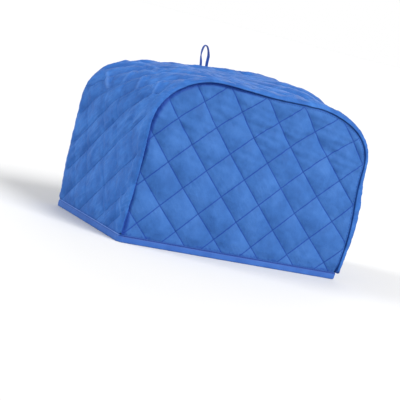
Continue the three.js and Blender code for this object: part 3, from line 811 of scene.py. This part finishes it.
def gusset_thread(name):
    """Stitches of the strip, kept off both rolls."""
    s0, e0, s1, e1 = stitch_places(GUSSET_QUILT, (-14, 26), (-14, 26))
    inside = (np.minimum(s0, s1) > LOWEST_STITCH) & (np.maximum(s0, s1) < ARCH_LENGTH - LOWEST_STITCH)
    inside &= (np.minimum(e0, e1) > FREE_OF_ROLL) & (np.maximum(e0, e1) < DEPTH - FREE_OF_ROLL)
    ends = []
    for s, e in ((s0[inside], e0[inside]), (s1[inside], e1[inside])):
        x, z = on_arch(s, gusset_face(s, e)[0] + STITCH_LIFT)
        ends.append(drape(np.stack([x, e - DEPTH / 2, z], -1)))
    out_x, out_z = arch_way_out(s0[inside])
    return spindles(name, ends[0], ends[1], np.stack([out_x, 0 * out_x, out_z], -1), THREAD)


def plain_thread(name, dark, light="#2a5898"):
    """Spun polyester thread: matt, a little uneven in tone."""
    material, tree, shader = new_material(name)
    place = add_node(tree, "TexCoord").outputs["Object"]
    uneven = add_node(tree, "TexNoise", {"Vector": place, "Scale": THREAD_BLOTCHES})
    mixed = add_node(tree, "Mix", {
        "Factor": uneven, "A": colour(dark), "B": colour(light)}, data_type="RGBA")
    tree.links.new(mixed.outputs["Result"], shader.inputs["Base Color"])
    shader.inputs["Roughness"].default_value = 0.7
    shader.inputs["Specular IOR Level"].default_value = 0.15
    return material


thread = plain_thread("spun_polyester_thread", "#1b458c")
front_rows, back_rows = panel_thread("front_quilting", -1), panel_thread("back_quilting", 1)
gusset_rows = gusset_thread("gusset_quilting")
for piece in (front_rows, back_rows, gusset_rows):
    piece.data.materials.append(thread)
    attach(piece, "root")

# The hem binding: bias tape of the same satin, folded over the lower edge of the cloth and
# topstitched near its upper edge. The cover stands on its fold.
TAPE, HEM_GAP, HEM_CORNER, HEM_STEP, CORNER_STEPS = 0.9, 0.3, 4.2, 1.6, 8
WALL_HEIGHTS = np.array([0.0, 0.35, 0.8, 1.3, 2.2, 3.4, 4.6, 5.6, 6.2, 6.6, 7.0, 7.4, 7.7, 8.0, 8.3])
FOLD_HIGH, FOLD_BACK, EDGE_BACK = 1.3, 0.55, 0.35  # the fold's round, and how far wall and edge stand back
TOPSTITCH_AT, TOPSTITCH_DEEP, TOPSTITCH_WIDE = 7.0, 0.45, 0.6
TOPSTITCH_PITCH, TOPSTITCH_LONG, TOPSTITCH_LIFT, TOPSTITCH_THREAD = 3.4, 2.5, 0.08, 0.27
TAPE_BLOTCHES, TAPE_GRAIN = 55.0, 420.0  # to the metre
# the colours of the painted shade in the topstitching's groove and of the painted highlight on the tape's
# upper edge
GROOVE_SHADE_TONE, EDGE_HIGHLIGHT_TONE = "#12307c", "#7398dc"
OUTSIDE = 3.0  # where the outer wall reads its noise


def hem_line():
    """Points, ways out and run of the hem's plan, a rectangle with round corners: straight runs are
    stepped every 1.6 mm and each corner in eight."""
    x, y, r = WIDTH / 2 - HEM_CORNER, DEPTH / 2 - PANEL_INSET - HEM_CORNER, HEM_CORNER
    points, ways = [], []
    for k, (cx, cy) in enumerate(((x, -y), (x, y), (-x, y), (-x, -y))):
        angle = np.linspace(k - 1, k, CORNER_STEPS + 1) * math.pi / 2
        way = np.stack([np.cos(angle), np.sin(angle)], -1)
        points.append(np.array([cx, cy]) + r * way)
        ways.append(way)
        following = np.array(((x, y), (-x, y), (-x, -y), (x, -y))[k]) + r * way[-1]
        count = int(np.linalg.norm(following - points[-1][-1]) / HEM_STEP)
        points.append(points[-1][-1] + (following - points[-1][-1]) * np.linspace(0, 1, count)[1:-1, None])
        ways.append(np.repeat(way[-1:], count - 2, axis=0))
    points, ways = np.concatenate(points), np.concatenate(ways)
    run = np.concatenate([[0], np.cumsum(np.linalg.norm(np.diff(points, axis=0), axis=1))])
    return points, ways, run


def tape_wall(run, z, side):
    """How far the tape's outer face stands off the hem's line at height z: full between the fold and
    the topstitching, pressed in at it and round at the fold, with slow waves along it."""
    fold = np.sqrt(np.clip(1 - (1 - np.clip(z / FOLD_HIGH, 0, 1)) ** 2, 0, 1))
    full = HEM_TIGHT + HEM_GAP + TAPE
    body = full - FOLD_BACK * (1 - fold) - EDGE_BACK * smooth(z - TOPSTITCH_AT)
    stitched = TOPSTITCH_DEEP * np.exp(-(((z - TOPSTITCH_AT) / TOPSTITCH_WIDE) ** 2))
    slow = 0.12 * ripple(run / 14, z / 9 + side, 91) + 0.1 * ripple(run / 4, z / 5 + side, 92)
    return body - stitched + slow * smooth(z / 2) + 0.12 * np.sin(math.pi * np.clip(z / TOPSTITCH_AT, 0, 1))


def binding_piece():
    """The section is a U: up the outer face, over the thin top edge, down inside and up again. It marks
    painted shade in the groove at the topstitching, and on the short sides a painted highlight along the
    upper edge."""
    line, way, run = hem_line()
    inner = HEM_TIGHT + HEM_GAP
    columns = []
    for side in (1, -1):
        outer_wall = [(side * tape_wall(run, z, side * OUTSIDE), z + 0 * run) for z in WALL_HEIGHTS]
        edge_z = HEM_HIGH + 0.12 * ripple(run / 6, 7.0 + side, 93)
        top = [(side * (inner + 0.3) + 0 * run, edge_z), (side * (inner + 0.1) + 0 * run, edge_z - 0.15)]
        inside = [(side * inner + 0 * run, z + 0 * run) for z in (6.0, 3.0, TAPE)]
        half = outer_wall + top + inside
        columns += half if side > 0 else half[::-1]
    columns.append((0 * run, 0 * run))
    off = np.stack([c[0] for c in columns], 1)
    z = np.stack([c[1] for c in columns], 1)
    points = np.concatenate([line[:, None] + way[:, None] * off[..., None], z[..., None]], -1)
    rows, count = off.shape
    number = np.arange(rows * count).reshape(rows, count)
    ahead, beside = np.roll(number, -1, 0), np.roll(number, -1, 1)
    faces = np.stack([number, ahead, np.roll(ahead, -1, 1), beside], -1).reshape(-1, 4).tolist()
    pattern = np.stack([np.broadcast_to(run[:, None], off.shape), z + off], -1).reshape(-1, 2)
    on_long_side = smooth((np.abs(way[:, None, 1]) - 0.4) / 0.3)
    # painted shade in the groove of the topstitching, strongest on the long sides
    in_groove = np.exp(-(((z - TOPSTITCH_AT - 0.3) / 0.9) ** 2)) * (0.25 + 0.75 * on_long_side) * (off > 0)
    patchy = 0.6 + 0.4 * ripple(run[:, None] / 9, 4.0 + 0 * off, 94)
    # a painted highlight along the tape's upper edge on the short sides
    bright = (1 - on_long_side) * smooth((z - 7.3) / 0.5) * (off > 0) * patchy
    marks = {"painted_shade": in_groove, "edge_highlight": bright}
    return add_mesh("hem_binding_tape", drape(points).reshape(-1, 3), faces, pattern, marks)


def tape_satin(name, dark, light, rib):
    """Narrow woven satin tape: smooth, with fine ribs across it, one every rib millimetres, and a slow
    change of tone. It has painted shade in the topstitching's groove and a painted highlight at its
    upper edge."""
    material, tree, shader = new_material(name)
    place = add_node(tree, "TexCoord").outputs["Object"]
    tone = add_node(tree, "TexNoise", {"Vector": place, "Scale": TAPE_BLOTCHES, "Detail": 3.0})
    # painted shade in the groove and a painted highlight on the upper edge
    groove = add_node(tree, "Attribute", attribute_name="painted_shade").outputs["Fac"]
    edge = add_node(tree, "Attribute", attribute_name="edge_highlight").outputs["Fac"]
    ramp = tone_ramp(tree, tone, dark, light)
    base = tinted(tree, ramp.outputs[0], ((groove, GROOVE_SHADE_TONE), (edge, EDGE_HIGHLIGHT_TONE)))
    tree.links.new(base, shader.inputs["Base Color"])
    along = add_node(tree, "SeparateXYZ", {"Vector": add_node(tree, "UVMap", uv_map="pattern")})
    wave = add_node(tree, "Math", {0: along, 1: 2 * math.pi / rib}, operation="MULTIPLY")
    wave = add_node(tree, "Math", {0: wave}, operation="SINE")
    fine = add_node(tree, "TexNoise", {"Vector": place, "Scale": TAPE_GRAIN, "Detail": 2.0})
    relief = add_node(tree, "Math", {0: wave, 1: 0.2, 2: fine}, operation="MULTIPLY_ADD")
    bump = add_node(tree, "Bump", {"Height": relief, "Strength": 0.4, "Distance": 0.0003})
    tree.links.new(bump.outputs[0], shader.inputs["Normal"])
    shader.inputs["Roughness"].default_value = 0.48
    shader.inputs["Specular IOR Level"].default_value = 0.2
    shader.inputs["Sheen Weight"].default_value = 0.03
    shader.inputs["Sheen Roughness"].default_value = 0.4
    return material


def topstitch_piece():
    """A row of stitches round the hem in the groove of the tape's outer face."""
    line, way, run = hem_line()
    starts = np.arange(2.0, run[-1] - TOPSTITCH_PITCH, TOPSTITCH_PITCH)
    ends = []
    for at in (starts, starts + TOPSTITCH_LONG):
        off = tape_wall(at, TOPSTITCH_AT, OUTSIDE) + TOPSTITCH_LIFT
        x, y = (np.interp(at, run, line[:, k]) + np.interp(at, run, way[:, k]) * off for k in (0, 1))
        ends.append(drape(np.stack([x, y, TOPSTITCH_AT + 0 * at], -1)))
    out = np.stack([np.interp(starts, run, way[:, 0]), np.interp(starts, run, way[:, 1]), 0 * starts], -1)
    return spindles("binding_topstitch", ends[0], ends[1], out, TOPSTITCH_THREAD)


binding = binding_piece()
binding.data.materials.append(tape_satin("binding_satin_tape", "#2f5ba6", "#3866b1", 1.4))
topstitch = topstitch_piece()
topstitch.data.materials.append(plain_thread("binding_thread", "#1c3c8c"))
for piece in (binding, topstitch):
    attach(piece, "root")
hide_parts("hem_binding")

# The hanging loop: a narrow tape folded double, caught in the middle of the back seam. It lies
# flat in the seam, turns on edge and goes round the top.
LOOP_TALL, LOOP_FOOT, LOOP_WIDE, LOOP_SEWN_IN = 26.0, 8.0, 11.4, 3.0
LOOP_TAPE, LOOP_THICK, LOOP_TURNED, LOOP_DIP = 3.6, 1.6, 1.2, 0.22
LOOP_WIDEST, LOOP_ON_EDGE, LOOP_ROUND = 0.45, 0.7, 0.62
LOOP_BASE_ASIDE, LOOP_LEANS = 2.2, 4.4
LOOP_STEPS, LOOP_SIDES = 91, 20


def loop_piece():
    """The run is x = -(apart / 2) cos t and z = foot + rise (sin t) to the power 0.62, with the legs'
    distance apart growing from the foot up, and it leans to the left by 4.4 mm at the top; the section
    is a flat round with a dip along its middle."""
    t = np.linspace(0, math.pi, LOOP_STEPS)
    apart = LOOP_FOOT + (LOOP_WIDE - LOOP_FOOT) * smooth(np.sin(t) / LOOP_WIDEST)
    foot = HEIGHT + ROLL_RISE - LOOP_SEWN_IN
    share_up = np.sin(t).clip(0) ** LOOP_ROUND
    path = np.stack([
        LOOP_BASE_ASIDE - LOOP_LEANS * share_up - (apart / 2) * np.cos(t),
        DEPTH / 2 - ROLL_WIDE / 2 + 0 * t,
        foot + (LOOP_TALL + LOOP_SEWN_IN) * share_up,
    ], -1)
    along = np.gradient(path, axis=0)
    along[0], along[-1] = (0, 0, 1), (0, 0, -1)
    along /= np.linalg.norm(along, axis=1, keepdims=True)
    turned_by = LOOP_TURNED * (1 - smooth(np.sin(t) / LOOP_ON_EDGE))
    side = np.stack([np.sin(turned_by) * np.where(t < math.pi / 2, 1, -1), np.cos(turned_by), 0 * t], -1)
    side -= along * (side * along).sum(-1, keepdims=True)
    side /= np.linalg.norm(side, axis=1, keepdims=True)
    over = np.cross(along, side)
    # the section: cosine across and sine through, squared off by powers under 1
    w = np.linspace(0, 2 * math.pi, LOOP_SIDES, endpoint=False)
    flat = LOOP_TAPE / 2 * np.sign(np.cos(w)) * np.abs(np.cos(w)) ** 0.5
    thick = LOOP_THICK / 2 * np.sign(np.sin(w)) * np.abs(np.sin(w)) ** 0.6
    thick = thick * (1 - LOOP_DIP + LOOP_DIP * np.abs(flat) / (LOOP_TAPE / 2))
    points = path[:, None] + side[:, None] * flat[None, :, None] + over[:, None] * thick[None, :, None]
    rows, count = points.shape[:2]
    number = np.arange(rows * count).reshape(rows, count)
    beside = np.roll(number, -1, 1)
    faces = np.stack([number[:-1], number[1:], beside[1:], beside[:-1]], -1).reshape(-1, 4).tolist()
    faces += [number[0].tolist(), number[-1, ::-1].tolist()]
    run = np.concatenate([[0], np.cumsum(np.linalg.norm(np.diff(path, axis=0), axis=1))])
    pattern = np.stack(np.broadcast_arrays(run[:, None], flat[None, :]), -1).reshape(-1, 2)
    return add_mesh("hanging_loop_tape", drape(points).reshape(-1, 3), faces, pattern)


loop_tape = loop_piece()
loop_tape.data.materials.append(tape_satin("loop_satin_tape", "#2a4a94", "#3458a6", 0.9))
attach(loop_tape, "root")
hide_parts("hanging_loop")

# The floor: a roll of white background paper laid flat, matt and without a join, that reaches as
# far as the camera sees. The hem stands on it.
FLOOR_REACH, FLOOR_SIDES, FLOOR_BELOW = 60.0, 96, 0.0002


def floor_piece():
    """A fan of 96 sides out to 1 m and a ring round it, just under the hem."""
    angle = np.linspace(0, 2 * math.pi, FLOOR_SIDES, endpoint=False)
    way = np.stack([np.cos(angle), np.sin(angle), 0 * angle], -1)
    points = np.concatenate([[[0, 0, 0]], way, way * FLOOR_REACH]) - [0, 0, FLOOR_BELOW]
    near = 1 + np.arange(FLOOR_SIDES)
    after = np.roll(near, -1)
    ring = np.stack([near, near + FLOOR_SIDES, after + FLOOR_SIDES, after], -1).tolist()
    fan = np.stack([0 * near, near, after], -1).tolist()
    mesh = bpy.data.meshes.new("floor")
    mesh.from_pydata(points.tolist(), [], ring + fan)
    piece = bpy.data.objects.new("floor", mesh)
    bpy.context.scene.collection.objects.link(piece)
    return piece


floor = floor_piece()
paper, _, paper_shader = new_material("white_background_paper")
paper_shader.inputs["Base Color"].default_value = colour("#dcdcdc")
paper_shader.inputs["Roughness"].default_value = 0.9
floor.data.materials.append(paper)

# The light: a broad one from over the front, one from over the left end and one from over the back,
# each as wide as a big softbox, a small warm lamp low on the right, and a room that is dim but for
# the white that the camera sees behind.
ROOM_LIGHT = 0.55


def lamp(kind, name, at, lies_towards, power, **settings):
    """A lamp that shines from the direction that it lies towards."""
    data = bpy.data.lights.new(name, kind)
    data.energy = power
    for key, value in settings.items():
        setattr(data, key, value)
    piece = bpy.data.objects.new(name, data)
    back = np.array(lies_towards, float)
    back /= np.linalg.norm(back)
    side = np.cross([0, 0, 1.0], back)
    side /= np.linalg.norm(side)
    piece.matrix_world = turned_to(side, np.cross(back, side), back, at)
    bpy.context.scene.collection.objects.link(piece)


lamp("SUN", "key_over_front", (0.5, -1.4, 1.4), (0.3, -0.8, 0.8), 2.75, angle=math.radians(26))
lamp("SUN", "left_end", (-1.8, 0.5, 0.8), (-1.0, 0.3, 0.45), 1.75, angle=math.radians(24))
lamp("SUN", "over_back", (1.0, 1.6, 0.8), (0.6, 1.0, 0.5), 0.5, angle=math.radians(30))
lamp("AREA", "low_right", (0.42, -0.78, 0.16), (0.3744, -0.9266, 0.0349), 1.7, size=0.4,
     color=colour("#fff2e4")[:3])
world = bpy.data.worlds.new("white_room")
world.use_nodes = True
seen = add_node(world.node_tree, "LightPath").outputs["Is Camera Ray"]
strength = add_node(
    world.node_tree, "Math", {0: seen, 1: 1 - ROOM_LIGHT, 2: ROOM_LIGHT}, operation="MULTIPLY_ADD")
backdrop = world.node_tree.nodes["Background"]
backdrop.inputs["Color"].default_value = (1, 1, 1, 1)
world.node_tree.links.new(strength.outputs[0], backdrop.inputs["Strength"])
bpy.context.scene.world = world
